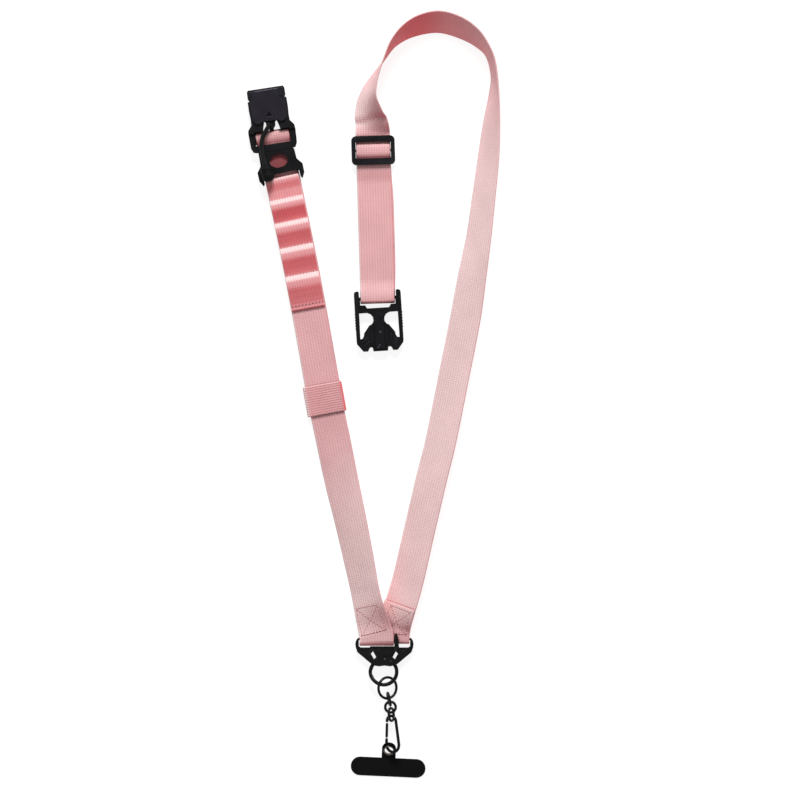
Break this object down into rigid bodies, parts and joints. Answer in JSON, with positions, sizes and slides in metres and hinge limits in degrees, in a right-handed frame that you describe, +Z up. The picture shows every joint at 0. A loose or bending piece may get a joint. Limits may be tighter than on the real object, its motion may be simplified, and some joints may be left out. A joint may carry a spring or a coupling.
{
  "type": "phone crossbody strap",
  "caption": "Flat webbing strap with a socket and pin buckle, a slider, sewn loops and a short chain to a snap hook and a flat phone tab.",
  "frame": {"origin": "on the surface it lies on, below the middle of its box, with the pull cord and its stopper left out", "axes": "+Y up the straps from the phone tab to the top of the long strap, +Z up from the surface, +X to the long strap's side"},
  "size_m": [0.1843, 0.5577, 0.025],
  "materials": {
    "webbing": "woven polyester webbing, ribbed lengthwise",
    "moulded_black": "injection-moulded nylon with a fine satin grain",
    "moulded_grey": "moulded nylon plate, satin, slightly paler",
    "black_metal": "black lacquer over steel and zinc, worn at the edges",
    "tab_sheet": "matt coated sheet",
    "eyelet_metal": "rolled grey-bronze eyelet",
    "braid": "braided cord"
  },
  "bodies": {
    "root": {"strap_long": "webbing", "strap_short": "webbing", "loop_band": "webbing", "keeper_loop": "webbing", "slider_frame": "moulded_black", "buckle_insert": "moulded_black", "buckle_housing": "moulded_black", "buckle_cover": "moulded_grey", "strap_lock": "moulded_black", "connector_plate": "black_metal", "split_ring": "black_metal", "round_ring": "black_metal", "link_upper": "black_metal", "small_ring": "black_metal", "link_lower": "black_metal", "snap_hook": "black_metal", "phone_tab": "tab_sheet", "tab_eyelet": "eyelet_metal"},
    "lug": {"release_lug": "moulded_black", "pull_cord": "braid", "cord_stopper": "moulded_black"},
    "gate": {"hook_gate": "black_metal"}
  },
  "joints": [
    {"name": "lug_slide", "type": "slide", "parent": "root", "child": "lug", "axis": [0.1513, -0.9885, 0], "range_m": [0, 0.0025], "stiffness_N_per_m": 200},
    {"name": "gate_hinge", "type": "hinge", "parent": "root", "child": "gate", "pos_m": [0.01156, -0.23961, 0.0033], "axis": [-0.587, -0.0308, 0.809], "range_deg": [0, 20], "stiffness_Nm_per_rad": 0.005, "springref_deg": -11.46}
  ]
}
